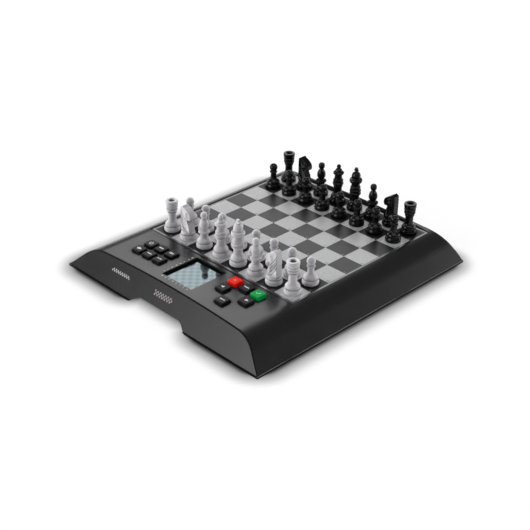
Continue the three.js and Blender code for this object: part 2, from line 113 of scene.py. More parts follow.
WINDOW_LIP = 3.5
WINDOW_HALF_X = DISPLAY_HIGH.x - WINDOW_LIP
WINDOW_FRONT_Y = DISPLAY_LOW.y + WINDOW_LIP
WINDOW_BACK_Y = DISPLAY_HIGH.y - WINDOW_LIP
WINDOW_MIDDLE_Y = (WINDOW_FRONT_Y + WINDOW_BACK_Y) / 2

KEY_SIZE = 12.3
KEY_CORNER = 1.9
KEY_FLANGE = 1.0

GRIP_BACK_Y = -126.0
GRIP_ROOF_Z = 8.3
GRIP_WALL = 1.6
GRIP_REACH = 52.0
GRIP_ROOF_HALF = 31.0
GRIP_FOOT_HALF = 40.5

WELL_HALF_X = 28.0
WELL_HALF_Y = 23.25
BASE_FLOOR_TOP = 3.2
BASE_LIP_LOW = 2.0
BASE_LIP_TOP = 5.5
NOTCH_HALF_X = 8.0
NOTCH_REACH = 2.7
NOTCH_DEPTH = 0.8

OUTER_ROUNDING = 1.1
FINE_ROUNDING = 0.32
FRONT_EDGE_REACH = 1.6
BACK_EDGE_REACH = 14.0
BASE_CORNER = 1.5

LABEL_THICKNESS = 0.05
LABEL_SIZE = 3.4
LABEL_RIGHT = 9.7
LABEL_FRONT = 10.4
DISPLAY_PITCH = 4.9
DISPLAY_CELL_SIZE = 4.5
DISPLAY_LABEL_PITCH = 5.2
DISPLAY_LABEL_SIZE = 2.9

KEY_NODES = [node for node in BODY_OF if node.startswith("key_") and node != "key_contact_mat"]
FOOT_NODES = [node for node in BODY_OF if node.startswith("rubber_foot_")]
CELL_NODES = [node for node in BODY_OF if node.startswith("battery_") and node != "battery_cover"]
PIECE_NODES = [node for node in BODY_OF if node.startswith(("white_", "black_"))]


# ---- outlines ----
def softened(corners, steps=5, closed=False):
    """The outline through corners of (a, b, reach), each rounded off from its reach away."""
    points = []
    count = len(corners)
    for index, (a, b, reach) in enumerate(corners):
        here = Vector((a, b))
        if not reach or not (closed or 0 < index < count - 1):
            points.append(here)
            continue
        before = Vector(corners[index - 1][:2]) - here
        after = Vector(corners[(index + 1) % count][:2]) - here
        start = here + before * min(0.5, reach / before.length)
        end = here + after * min(0.5, reach / after.length)
        for step in range(steps + 1):
            t = step / steps
            points.append(start * (1 - t) ** 2 + here * 2 * t * (1 - t) + end * t * t)
    kept = [points[0]]
    for point in points[1:]:
        if (point - kept[-1]).length > 0.004:
            kept.append(point)
    if closed and (kept[0] - kept[-1]).length < 0.004:
        kept.pop()
    return [tuple(point) for point in kept]


def arc_points(centre_a, centre_b, radius, start, end, steps=10):
    """Points on a circle from one angle to another, in degrees."""
    turns = [math.radians(start + (end - start) * step / steps) for step in range(steps + 1)]
    return [(centre_a + radius * math.cos(t), centre_b + radius * math.sin(t)) for t in turns]


def arc(*circle):
    """The same points as unrounded corners of an outline that is softened later."""
    return [(a, b, 0) for a, b in arc_points(*circle)]


def rounded_rectangle(half_x, half_y, corner, centre_x=0.0, centre_y=0.0, steps=6):
    """A rectangle with round corners, counter-clockwise."""
    points = []
    for sign_x, sign_y, start in ((1, 1, 0), (-1, 1, 90), (-1, -1, 180), (1, -1, 270)):
        middle_x = centre_x + sign_x * (half_x - corner)
        middle_y = centre_y + sign_y * (half_y - corner)
        points += arc_points(middle_x, middle_y, corner, start, start + 90, steps)
    return points


def disc(centre_a, centre_b, radius):
    """A circle as an outline of forty-eight points."""
    return arc_points(centre_a, centre_b, radius, 0, 352.5, 47)


def oblong(x, y, half_x, half_y):
    """A rectangle about a middle, counter-clockwise."""
    signs = ((-1, -1), (1, -1), (1, 1), (-1, 1))
    return [(x + sign_x * half_x, y + sign_y * half_y) for sign_x, sign_y in signs]


# ---- meshes ----
def shade(mesh, sharp_angle=35):
    mesh.shade_smooth()
    mesh.set_sharp_from_angle(angle=math.radians(sharp_angle))


def build_mesh(name, vertices, faces, sharp_angle=35):
    """A closed mesh from millimetre points, its normals outward."""
    mesh = bpy.data.meshes.new(name)
    mesh.from_pydata([Vector(point) * MM for point in vertices], [], faces)
    work = bmesh.new()
    work.from_mesh(mesh)
    bmesh.ops.recalc_face_normals(work, faces=work.faces)
    work.to_mesh(mesh)
    work.free()
    shade(mesh, sharp_angle)
    return mesh


def lofted(loops):
    """Vertices and faces of loops joined in turn, with the first and last one capped."""
    size = len(loops[0])
    vertices = [point for loop in loops for point in loop]
    faces = [tuple(range(size)), tuple(range(len(vertices) - size, len(vertices)))]
    for row in range(len(loops) - 1):
        for index in range(size):
            after = (index + 1) % size
            near, far = row * size, (row + 1) * size
            faces.append((near + index, near + after, far + after, far + index))
    return vertices, faces


def along_x(outline, start, end):
    """An outline in Y and Z run along X."""
    return lofted([[(x, a, b) for a, b in outline] for x in (start, end)])


def along_y(outline, start, end):
    """An outline in X and Z run along Y."""
    return lofted([[(a, y, b) for a, b in outline] for y in (start, end)])


def along_z(outline, start, end):
    """An outline in X and Y run along Z."""
    return lofted([[(a, b, z) for a, b in outline] for z in (start, end)])


def turned(outline, segments=56):
    """An outline of radius and height turned about the Z axis, from axis to axis."""
    vertices, faces, rings = [], [], []
    for radius, height in outline:
        steps = segments if radius > 0.001 else 1
        rings.append([len(vertices) + step for step in range(steps)])
        for step in range(steps):
            turn = 2 * math.pi * step / segments
            vertices.append((radius * math.cos(turn), radius * math.sin(turn), height))
    for low, high in zip(rings, rings[1:]):
        for step in range(segments):
            after = (step + 1) % segments
            corners = [low[step % len(low)], low[after % len(low)]]
            corners += [high[after % len(high)], high[step % len(high)]]
            face = tuple(dict.fromkeys(corners))
            if len(face) > 2:
                faces.append(face)
    return vertices, faces


def moved(shape, matrix):
    """Vertices and faces with the vertices moved by a matrix, in millimetres."""
    vertices, faces = shape
    return [tuple(matrix @ Vector(point)) for point in vertices], faces


def together(shapes):
    """Several vertices-and-faces shapes as one."""
    vertices, faces = [], []
    for points, polygons in shapes:
        start = len(vertices)
        vertices += points
        faces += [tuple(start + index for index in polygon) for polygon in polygons]
    return vertices, faces


def add_object(name, mesh, place=(0, 0, 0)):
    thing = bpy.data.objects.new(name, mesh)
    thing.location = Vector(place) * MM
    bpy.context.scene.collection.objects.link(thing)
    return thing


def add_shape(name, shape, sharp_angle=35):
    """An object made of vertices and faces in millimetres."""
    return add_object(name, build_mesh(name, *shape, sharp_angle=sharp_angle))


def bake_modifiers(thing):
    """The object's mesh becomes what its modifiers make of it."""
    bpy.context.view_layer.update()
    graph = bpy.context.evaluated_depsgraph_get()
    mesh = bpy.data.meshes.new_from_object(thing.evaluated_get(graph))
    thing.modifiers.clear()
    thing.data = mesh
    return thing


def solid(shape):
    """A working solid for booleans."""
    return add_shape("working_solid", shape)


def boolean(base, others, operation):
    """The base joined with the others, cut by them (DIFFERENCE) or kept inside them (INTERSECT)."""
    for other in others:
        step = base.modifiers.new("step", "BOOLEAN")
        step.solver = "MANIFOLD"
        step.operation = operation
        step.object = other
    bake_modifiers(base)
    for other in others:
        bpy.data.objects.remove(other)
    return base


def evenly(first, second):
    """The weight of an edge between two points, where all edges are rounded alike."""
    return 1.0


def round_edges(thing, width, weight_of=evenly, sharp_angle=24, segments=3, clamp=True):
    """Bevels each edge sharper than the angle, by width times the weight that weight_of gives it."""
    work = bmesh.new()
    work.from_mesh(thing.data)
    bmesh.ops.remove_doubles(work, verts=work.verts, dist=0.002 * MM)
    weights = work.edges.layers.float.new("bevel_weight_edge")
    for edge in work.edges:
        if edge.calc_face_angle(0) > math.radians(sharp_angle):
            edge[weights] = weight_of(*[vertex.co / MM for vertex in edge.verts])
    work.to_mesh(thing.data)
    work.free()
    bevel = thing.modifiers.new("bevel", "BEVEL")
    bevel.limit_method = "WEIGHT"
    bevel.width = width * MM
    bevel.segments = segments
    bevel.use_clamp_overlap = clamp
    bake_modifiers(thing)
    shade(thing.data, 40)
    normals = thing.modifiers.new("normals", "WEIGHTED_NORMAL")
    normals.keep_sharp = True
    normals.weight = 100
    return bake_modifiers(thing)


# ---- materials ----
def srgb(red, green, blue):
    """A colour of 0 to 255 as the linear colour that shaders use."""
    shares = [value / 255 for value in (red, green, blue)]
    linear = [v / 12.92 if v <= 0.04045 else ((v + 0.055) / 1.055) ** 2.4 for v in shares]
    return (*linear, 1.0)


HOUSING_GREY = srgb(22, 22, 23)
# Painted shade on the ivory: the share of its light colour left where it faces the viewer, and in
# millimetres how near its own surfaces have to be to darken a fold.
FRONT_SHARE = 0.45
FOLD_REACH = 5.0


def connect(tree, socket, value):
    """Feeds a socket from another one, or gives it a plain value."""
    if isinstance(value, bpy.types.NodeSocket):
        tree.links.new(value, socket)
    else:
        socket.default_value = value


def add_node(tree, kind, inputs=(), **settings):
    """A node with settings, its inputs named or numbered and fed with sockets or plain values."""
    node = tree.nodes.new(kind)
    for name, value in settings.items():
        setattr(node, name, value)
    for name, value in dict(inputs).items():
        connect(tree, node.inputs[name], value)
    return node


def maths(tree, operation, *values):
    return add_node(tree, "ShaderNodeMath", enumerate(values), operation=operation).outputs["Value"]


def vector_maths(tree, operation, *values):
    return add_node(tree, "ShaderNodeVectorMath", enumerate(values), operation=operation).outputs


def set_shader(material, name, value):
    tree = material.node_tree
    connect(tree, tree.nodes["Principled BSDF"].inputs[name], value)


def new_material(name, colour, roughness, metallic=0.0, specular=0.5):
    material = bpy.data.materials.new(name)
    material.use_nodes = True
    set_shader(material, "Base Color", colour)
    set_shader(material, "Roughness", roughness)
    set_shader(material, "Metallic", metallic)
    set_shader(material, "Specular IOR Level", specular)
    return material


def noise(material, scale, stretch=(1, 1, 1)):
    """The factor of a noise pattern in the object's own coordinates. scale is features per metre."""
    tree = material.node_tree
    place = add_node(tree, "ShaderNodeTexCoord").outputs["Object"]
    mapping = add_node(tree, "ShaderNodeMapping", {"Vector": place, "Scale": stretch})
    inputs = {"Vector": mapping.outputs["Vector"], "Scale": scale, "Detail": 3.0}
    return add_node(tree, "ShaderNodeTexNoise", inputs).outputs["Fac"]


def spread(material, factor, low, high, start=0.3, end=0.7):
    """A factor between start and end stretched over a range of values."""
    inputs = {"Value": factor, "From Min": start, "From Max": end, "To Min": low, "To Max": high}
    return add_node(material.node_tree, "ShaderNodeMapRange", inputs).outputs["Result"]


def mix_colour(material, factor, first, second):
    """The base colour runs from the first to the second as the factor goes from 0 to 1."""
    inputs = {0: factor, 6: first, 7: second}
    mix = add_node(material.node_tree, "ShaderNodeMix", inputs, data_type="RGBA")
    set_shader(material, "Base Color", mix.outputs[2])


def vary_colour(material, factor, first, second):
    mix_colour(material, spread(material, factor, 0, 1), first, second)


def vary_roughness(material, factor, low, high):
    set_shader(material, "Roughness", spread(material, factor, low, high))


def bump(material, factor, depth):
    """Raises the surface by the factor times a depth in millimetres."""
    inputs = {"Strength": 1.0, "Distance": depth * MM, "Height": factor}
    relief = add_node(material.node_tree, "ShaderNodeBump", inputs)
    set_shader(material, "Normal", relief.outputs["Normal"])


def moulded_plastic(name, colour, roughness, specular=0.5, grain=900, depth=0.02):
    """Moulded plastic with a fine spark texture and faint patches of wear."""
    material = new_material(name, colour, roughness, specular=specular)
    lighter = tuple(1.05 * value for value in colour[:3]) + (1.0,)
    vary_colour(material, noise(material, 30), colour, lighter)
    vary_roughness(material, noise(material, 55), roughness - 0.015, roughness + 0.015)
    bump(material, noise(material, grain), depth)
    return material


def openness(material, reach, closed, shadiest, only_local=False):
    """A painted-shade factor: 1 where nothing is near, falling to shadiest where the sky is cut down to
    the closed share.
    """
    inputs = {"Distance": reach * MM}
    kind = "ShaderNodeAmbientOcclusion"
    near = add_node(material.node_tree, kind, inputs, samples=6, only_local=only_local)
    return spread(material, near.outputs["AO"], shadiest, 1, start=closed, end=0.96)


def paint_shade_near_things(material, reach, closed, shadiest):
    """Painted shade: weakens a material's shine where other things stand close by, within a reach in
    millimetres.
    """
    tree = material.node_tree
    shine = tree.nodes["Principled BSDF"].inputs["Specular IOR Level"].default_value
    scaled = maths(tree, "MULTIPLY", openness(material, reach, closed, shadiest), shine)
    set_shader(material, "Specular IOR Level", scaled)


def light_square_material():
    material = new_material("silver_print", srgb(160, 160, 161), 0.42, metallic=0.25)
    grain = noise(material, 750, (1, 1.6, 1))
    vary_colour(material, grain, srgb(154, 154, 155), srgb(190, 190, 191))
    vary_roughness(material, noise(material, 300), 0.36, 0.5)
    bump(material, grain, 0.012)
    return material


def dark_square_material():
    material = new_material("graphite_print", srgb(24, 24, 25), 0.34, specular=0.24)
    brush = noise(material, 260, (8, 0.6, 1))
    vary_colour(material, brush, srgb(17, 17, 18), srgb(34, 34, 35))
    vary_roughness(material, brush, 0.28, 0.4)
    bump(material, brush, 0.006)
    # Painted shade: the dark squares lose their shine where pieces and other things stand close by.
    paint_shade_near_things(material, 25, 0.7, 0)
    return material


def housing_plastic(name):
    return moulded_plastic(name, HOUSING_GREY, 0.26, specular=0.4, grain=1400, depth=0.006)


def panel_material():
    material = housing_plastic("panel_plastic")
    # Painted shade: the panel loses some of its shine where other things stand close by.
    paint_shade_near_things(material, 34, 0.75, 0.1)
    return material


def shade_ivory(material, colour, darkest):
    """Painted shade: deepens a colour in folds, and a little where the surface faces the viewer."""
    tree = material.node_tree
    facing = add_node(tree, "ShaderNodeLayerWeight", {"Blend": 0.5}).outputs["Facing"]
    front = spread(material, facing, FRONT_SHARE, 1, start=0.1, end=0.45)
    fold = openness(material, FOLD_REACH, 0.42, 0, only_local=True)
    mix_colour(material, maths(tree, "MULTIPLY", fold, front), darkest, colour)


def ivory_material():
    material = new_material("white_plastic", srgb(204, 202, 207), 0.4)
    # Painted shade: the ivory runs from this light colour to the dark one in its folds and where it
    # faces the viewer.
    shade_ivory(material, srgb(216, 214, 218), srgb(74, 72, 77))
    vary_roughness(material, noise(material, 400), 0.3, 0.42)
    bump(material, noise(material, 500), 0.01)
    return material


def jet_material():
    material = new_material("black_gloss_plastic", srgb(5, 5, 6), 0.1, specular=0.24)
    vary_roughness(material, noise(material, 160), 0.07, 0.14)
    bump(material, noise(material, 220), 0.012)
    return material


HOUSING = housing_plastic("housing_plastic")
PANEL = panel_material()
BASE = moulded_plastic("base_plastic", srgb(8, 8, 9), 0.28, specular=0.35, grain=1400, depth=0.006)
KEY_BLACK = moulded_plastic("key_rubber_black", srgb(5, 5, 6), 0.42, specular=0.2, depth=0.008)
KEY_RED = moulded_plastic("key_rubber_red", srgb(230, 24, 14), 0.4, specular=0.15, depth=0.008)
KEY_GREEN = moulded_plastic("key_rubber_green", srgb(0, 150, 70), 0.4, specular=0.1, depth=0.008)
RUBBER = moulded_plastic("foot_rubber", srgb(14, 14, 14), 0.8, grain=500)
SOCKET = moulded_plastic("socket_plastic", srgb(14, 14, 15), 0.35)
MAT_RUBBER = moulded_plastic("mat_rubber", srgb(140, 140, 143), 0.7)
FILM = moulded_plastic("membrane_film", srgb(196, 170, 110), 0.45)
CIRCUIT = moulded_plastic("circuit_laminate", srgb(24, 82, 50), 0.4)
CELL_WRAP = moulded_plastic("cell_wrap", srgb(58, 96, 128), 0.3)
LIGHT_SQUARE = light_square_material()
DARK_SQUARE = dark_square_material()
# Painted shade: a near-black material laid where shade falls, on the ramp round the board, the front
# face's top line, the rim strip and the base's sides.
EDGE_SHADE = new_material("edge_painted_shade", srgb(4, 4, 4), 0.5, specular=0.12)
EDGE_METAL = new_material("board_edge_metal", srgb(105, 105, 107), 0.28, metallic=1.0)
EDGE_LINE = new_material("board_edge_line", srgb(24, 24, 25), 0.4)
IVORY = ivory_material()
JET = jet_material()
WHITE_PRINT = new_material("white_print", srgb(225, 225, 225), 0.5)
GREY_PRINT = new_material("grey_print", srgb(128, 122, 122), 0.5)
PALE_PRINT = new_material("pale_print", srgb(164, 164, 164), 0.5)
DARK_PRINT = new_material("dark_print", srgb(30, 30, 31), 0.5)
RED_PRINT = new_material("key_mark_orange", srgb(250, 150, 70), 0.5)
GREEN_PRINT = new_material("key_mark_green", srgb(150, 235, 180), 0.5)
STEEL = new_material("nickel_steel", srgb(200, 200, 198), 0.25, metallic=1.0)
DISPLAY_BACK = new_material("display_back", srgb(93, 104, 107), 0.05, metallic=1.0)
DISPLAY_CELL = new_material("display_cell", srgb(80, 94, 98), 0.05, metallic=1.0)
DISPLAY_CELL_PALE = new_material("display_cell_pale", srgb(96, 106, 109), 0.05, metallic=1.0)
DISPLAY_EDGE = new_material("display_edge", srgb(16, 18, 19), 0.2)


# ---- pieces on the frame ----
def stand_in(thing, node, material):
    """The object stands for a CAD node, on that node's body."""
    if not any(thing.data.materials):
        thing.data.materials.clear()
        thing.data.materials.append(material)
    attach(thing, BODY_OF[node])
    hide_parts(node)


def trim(name, shape, node, material):
    """A mark or small part that moves with a node's body."""
    thing = add_shape(name, shape)
    thing.data.materials.append(material)
    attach(thing, BODY_OF[node])


def paint(thing, materials, pick):
    """Gives the object materials. pick(centre, normal) is the number of the one that a face takes."""
    mesh = thing.data
    mesh.materials.clear()
    for material in materials:
        mesh.materials.append(material)
    for polygon in mesh.polygons:
        polygon.material_index = pick(polygon.center / MM, polygon.normal)


def dress(node, material):
    """A carried-over CAD node takes a material."""
    mesh = frame["nodes"][node].data
    mesh.materials.clear()
    mesh.materials.append(material)


# ---- housing ----
def crown_z(x):
    return CROWN_Z - x * x / (2 * CROWN_RADIUS)


def front_y(z):
    return FRONT_FOOT_Y + FRONT_LEAN * z


def arch_outline(inset, bottom_z):
    """A nearly flat crown, round shoulders and straight flanks, as X and Z."""
    crown_angle = math.asin(CROWN_HALF_WIDTH / CROWN_RADIUS)
    crown_centre_z = CROWN_Z - CROWN_RADIUS
    shoulder_x = (CROWN_RADIUS - SHOULDER_RADIUS) * math.sin(crown_angle)
    shoulder_z = crown_centre_z + (CROWN_RADIUS - SHOULDER_RADIUS) * math.cos(crown_angle)
    edge, flank = 90 - math.degrees(crown_angle), 90 - math.degrees(FLANK_ANGLE)
    half = arc_points(0, crown_centre_z, CROWN_RADIUS - inset, 90, edge, 16)
    half += arc_points(shoulder_x, shoulder_z, SHOULDER_RADIUS - inset, edge, flank, 24)[1:]
    end_x, end_z = half[-1]
    half.append((end_x + (end_z - bottom_z) / math.tan(FLANK_ANGLE), bottom_z))
    return [(-x, z) for x, z in reversed(half[1:])] + half


def side_outline(inset, bottom_z):
    """A leaning front face and a back face that steepens towards the table, as Y and Z."""
    top = CROWN_Z + 5
    shift = inset * math.hypot(1, FRONT_LEAN)
    back = BACK_Y - inset
    return softened([
        (front_y(bottom_z) + shift, bottom_z, 0),
        (back, bottom_z, 0),
        (back, 7.5, 3),
        (back - 2.3, 14, 3),
        (back - 4.7, 20, 3),
        (back - 9.6, CROWN_Z, 3),
        (back - 13.1, top, 0),
        (front_y(top) + shift, top, 0),
    ], closed=True)


def housing_solid(inset, bottom_z):
    arch = solid(along_y(arch_outline(inset, bottom_z), -BEYOND, BEYOND))
    side = solid(along_x(side_outline(inset, bottom_z), -BEYOND, BEYOND))
    return boolean(arch, [side], "INTERSECT")


def block(y, half_x, half_y, z0, z1):
    """A box about a middle in Y, between two heights."""
    return solid(along_z(oblong(0, y, half_x, half_y), z0, z1))


def layer(z0, z1):
    return block(0, BEYOND, BEYOND, z0, z1)


def grip_solid(grow, back_y):
    """The finger grip under the front edge, its lower corners flared in an S."""
    floor_z = BASE_LOW.z - 0.05 - grow
    half_top, half_bottom, flare = GRIP_ROOF_HALF + grow, GRIP_FOOT_HALF + grow, GRIP_REACH + grow
    roof_z = GRIP_ROOF_Z + grow
    outline = softened([
        (-flare, -3, 0),
        (flare, -3, 0),
        (flare, floor_z, 0),
        (half_bottom, floor_z, 5),
        (half_top, roof_z, 4.5),
        (-half_top, roof_z, 4.5),
        (-half_bottom, floor_z, 5),
        (-flare, floor_z, 0),
    ], steps=8, closed=True)
    return solid(along_y(outline, -BEYOND, back_y))


def square_loop(half, centre_y, z):
    corners = ((half, half), (-half, half), (-half, -half), (half, -half))
    return [(x, centre_y + y, z) for x, y in corners]


def board_pocket():
    """The recess that the board lies in, with a ramp from its rim up to the crown."""
    ramp_top = CROWN_Z + 2
    ramp_half = RECESS_HALF + (ramp_top - BOARD_TOP) * RAMP_RUN_PER_RISE
    rows = ((RECESS_HALF, RECESS_FLOOR_Z), (RECESS_HALF, BOARD_TOP), (ramp_half, ramp_top))
    return solid(lofted([square_loop(half, BOARD_Y, z) for half, z in rows]))


def key_hole(node):
    centre = middle_mm(node)
    half = KEY_SIZE / 2 + CLEARANCE
    return solid(along_z(rounded_rectangle(half, half, KEY_CORNER, centre.x, centre.y), *PANEL_CUT))


def socket_bar(radius):
    """A round bar that opens the back wall for the socket."""
    centre = middle_mm("power_socket")
    return solid(along_y(disc(centre.x, centre.z, radius), SOCKET_CUT_Y, BEYOND))


def is_outer(point):
    """True above the parting line, for a point of the back edge or of the front edge off the grip."""
    in_grip = abs(point.x) < GRIP_REACH and point.z < GRIP_ROOF_Z + 0.1
    on_front = abs(point.y - front_y(point.z)) < 0.05 and not in_grip
    return (on_front or point.y > BACK_Y - BACK_EDGE_REACH) and point.z > PARTING_Z + 0.5


def housing_weight(first, second):
    if is_outer(first) and is_outer(second):
        return 1.0
    return FINE_ROUNDING / OUTER_ROUNDING


def housing_part(centre, normal):
    """0 on the housing, 1 (painted shade) on the front face's top line and the ramp round the board, 2
    on the panel.
    """
    near_front = abs(centre.y - front_y(centre.z)) < FRONT_EDGE_REACH
    face_up = 1 / math.hypot(1, FRONT_LEAN)
    # Painted shadow line along the top of the front face.
    if near_front and -face_up + 0.02 < normal.y < -0.05 and centre.z > PARTING_Z + 1:
        return 1
    across, along = centre.x, centre.y - BOARD_Y
    reach = max(abs(across), abs(along))
    inward = -(normal.x * across + normal.y * along) / reach
    # Painted shade on the ramp round the board.
    if inward > 0.3 and reach > RECESS_HALF - 1 and BOARD_TOP - 0.1 < centre.z < CROWN_Z:
        return 1
    return 2 if normal.z > 0.85 else 0


def rim_shade():
    """A painted-shade strip: a thin dark strip on the rim left of the board, in place of the shade of
    the step there.
    """
    right = -RECESS_HALF
    left = right - RIM_SHADE_WIDTH
    corners = [(left, -0.2), (right, -0.2), (right, 0.03), (left, 0.03)]
    outline = [(x, crown_z(x) + rise) for x, rise in corners]
    strip = along_y(outline, BOARD_Y - RECESS_HALF, BOARD_Y + RECESS_HALF)
    trim("rim_shade", strip, "top_housing", EDGE_SHADE)


def top_housing():
    shell = boolean(housing_solid(0, PARTING_Z), [housing_solid(WALL, BELOW)], "DIFFERENCE")
    reach = RECESS_HALF + RECESS_RIM
    slab = block(BOARD_Y, reach, reach, RECESS_SLAB_Z, BOARD_TOP)
    shell = boolean(shell, [boolean(slab, [housing_solid(0.5, PARTING_Z)], "INTERSECT")], "UNION")
    window_half_y = (WINDOW_BACK_Y - WINDOW_FRONT_Y) / 2
    window_plan = rounded_rectangle(WINDOW_HALF_X, window_half_y, 0.6, 0, WINDOW_MIDDLE_Y)
    window = solid(along_z(window_plan, *PANEL_CUT))
    tail_y = BOARD_Y - FIELD_HALF + TAIL_SLOT_INSET
    tail_slot = block(tail_y, TAIL_SLOT_HALF_X, TAIL_SLOT_HALF_Y, RECESS_SLAB_Z - 2, BOARD_TOP)
    socket_radius = (SOCKET_HIGH.x - SOCKET_LOW.x) / 2 + CLEARANCE
    cutters = [board_pocket(), window, tail_slot, socket_bar(socket_radius)]
    cutters += [grip_solid(0, GRIP_BACK_Y)] + [key_hole(node) for node in KEY_NODES]
    shell = boolean(shell, cutters, "DIFFERENCE")
    round_edges(shell, OUTER_ROUNDING, housing_weight, clamp=False)
    paint(shell, (HOUSING, EDGE_SHADE, PANEL), housing_part)
    shell.name = "housing_top"
    stand_in(shell, "top_housing", HOUSING)


def bottom_housing():
    rim_top = PARTING_Z - STACK_GAP
    plan = rounded_rectangle(BASE_HIGH.x, BASE_HIGH.y, BASE_CORNER, steps=10)
    body = solid(along_z(plan, BASE_LOW.z, rim_top))
    wall = WALL + CLEARANCE
    well_roof = BASE_HIGH.z - GRIP_WALL
    floor = boolean(housing_solid(wall, 0), [layer(BASE_LOW.z, BASE_FLOOR_TOP)], "INTERSECT")
    lip = boolean(housing_solid(wall, 0), [layer(BASE_LIP_LOW, BASE_LIP_TOP)], "INTERSECT")
    lip = boolean(lip, [housing_solid(2 * WALL, BELOW)], "DIFFERENCE")
    middle_y = middle_mm("battery_cover").y
    out_x, out_y = WELL_HALF_X + GRIP_WALL, WELL_HALF_Y + GRIP_WALL
    well = block(middle_y, out_x, out_y, BASE_LOW.z, BASE_HIGH.z)
    roof = grip_solid(GRIP_WALL, GRIP_BACK_Y + GRIP_WALL)
    roof = boolean(roof, [housing_solid(wall, BASE_LOW.z)], "INTERSECT")
    body = boolean(body, [floor, lip, well, roof], "UNION")
    seat_x = COVER_HIGH.x + CLEARANCE
    seat_y = COVER_HIGH.y - middle_y + CLEARANCE
    seat_plan = rounded_rectangle(seat_x, seat_y, 1.5, 0, middle_y)
    cutters = [
        block(middle_y, WELL_HALF_X, WELL_HALF_Y, BELOW, well_roof),
        solid(along_z(seat_plan, BELOW, COVER_HIGH.z + STACK_GAP)),
        grip_solid(0, GRIP_BACK_Y),
    ]
    for node in FOOT_NODES:
        centre, high = middle_mm(node), box_mm(node)[1]
        ring = disc(centre.x, centre.y, high.x - centre.x + CLEARANCE)
        cutters.append(solid(along_z(ring, BELOW, high.z + STACK_GAP)))
    body = boolean(body, cutters, "DIFFERENCE")
    round_edges(body, 0.5, lambda first, second: 1.0 if abs(first.z - second.z) < 0.01 else 0.5)
    # The base's sides take the painted-shade black: partly the base's own black plastic, partly painted
    # shade near the floor.
    paint(body, (BASE, EDGE_SHADE), lambda centre, normal: normal.z < 0.8)
    body.name = "housing_bottom"
    stand_in(body, "bottom_housing", BASE)


def battery_cover():
    """A plate with a finger notch and three grip ridges."""
    half_x = COVER_HIGH.x
    half_y = (COVER_HIGH.y - COVER_LOW.y) / 2
    middle_y = middle_mm("battery_cover").y
    plan = rounded_rectangle(half_x, half_y, 1.3, 0, middle_y)
    plate = solid(along_z(plan, COVER_LOW.z, COVER_HIGH.z))
    notch = block(COVER_LOW.y, NOTCH_HALF_X, NOTCH_REACH, 0, COVER_LOW.z + NOTCH_DEPTH)
    grooves = []
    for row in range(3):
        groove_y = COVER_LOW.y + 6 + 2 * row
        groove = rounded_rectangle(9, 0.45, 0.44, 0, groove_y)
        grooves.append(solid(along_z(groove, 0, COVER_LOW.z + 0.4)))
    plate = boolean(plate, [notch] + grooves, "DIFFERENCE")
    round_edges(plate, 0.25)
    plate.name = "cover_battery"
    stand_in(plate, "battery_cover", BASE)


# ---- board and display ----
def grid_plate(name, lines_x, lines_y, bottom_z, top_z, index_of, materials, rounding):
    """A plate whose top is split along the lines. index_of(column, row) picks each part's material."""
    size_x, size_y = len(lines_x), len(lines_y)
    vertices = [(x, y, top_z) for y in lines_y for x in lines_x]
    faces, indices = [], []
    for row in range(size_y - 1):
        for column in range(size_x - 1):
            corner = row * size_x + column
            faces.append((corner, corner + 1, corner + 1 + size_x, corner + size_x))
            indices.append(index_of(column, row))
    rim = list(range(size_x))
    rim += [row * size_x + size_x - 1 for row in range(1, size_y)]
    rim += [(size_y - 1) * size_x + column for column in range(size_x - 2, -1, -1)]
    rim += [row * size_x for row in range(size_y - 2, 0, -1)]
    start = len(vertices)
    vertices += [(*vertices[index][:2], bottom_z) for index in rim]
    for place in range(len(rim)):
        after = (place + 1) % len(rim)
        faces.append((rim[place], start + place, start + after, rim[after]))
        indices.append(0)
    faces.append(tuple(range(start + len(rim) - 1, start - 1, -1)))
    indices.append(0)
    mesh = build_mesh(name, vertices, faces)
    mesh.polygons.foreach_set("material_index", indices)
    for material in materials:
        mesh.materials.append(material)
    return round_edges(add_object(name, mesh), rounding, sharp_angle=60, segments=2)


def playing_board():
    """Sixty-four printed squares, a thin dark line round them and a polished metal edge."""
    edge = BOARD_HIGH.x
    line = FIELD_HALF + 0.5
    files = [-edge, -line] + [(step - 4) * SQUARE for step in range(9)] + [line, edge]
    ranks = [BOARD_Y + value for value in files]
    last = len(files) - 2

    def part(column, row):
        if column in (0, last) or row in (0, last):
            return 0
        if column in (1, last - 1) or row in (1, last - 1):
            return 1
        return 2 + (column + row) % 2

    materials = [EDGE_METAL, EDGE_LINE, DARK_SQUARE, LIGHT_SQUARE]
    board = grid_plate("board_plate", files, ranks, BOARD_LOW.z, BOARD_TOP, part, materials, 0.2)
    stand_in(board, "playing_board", LIGHT_SQUARE)


def display():
    """A glass cell with the faint outlines of a small chequered grid."""
    steps = []
    for index in range(8):
        start = (index - 4) * DISPLAY_PITCH + (DISPLAY_PITCH - DISPLAY_CELL_SIZE) / 2
        steps += [start, start + DISPLAY_CELL_SIZE]
    lines_x = [DISPLAY_LOW.x] + steps + [DISPLAY_HIGH.x]
    lines_y = [DISPLAY_LOW.y] + [WINDOW_MIDDLE_Y + value for value in steps] + [DISPLAY_HIGH.y]

    def part(column, row):
        if column % 2 == 0 or row % 2 == 0:
            return 1
        return 2 + (column // 2 + row // 2) % 2

    materials = [DISPLAY_EDGE, DISPLAY_BACK, DISPLAY_CELL, DISPLAY_CELL_PALE]
    glass = grid_plate(
        "display_glass", lines_x, lines_y, DISPLAY_LOW.z, DISPLAY_HIGH.z, part, materials, 0.15
    )
    stand_in(glass, "lcd_panel", DISPLAY_BACK)


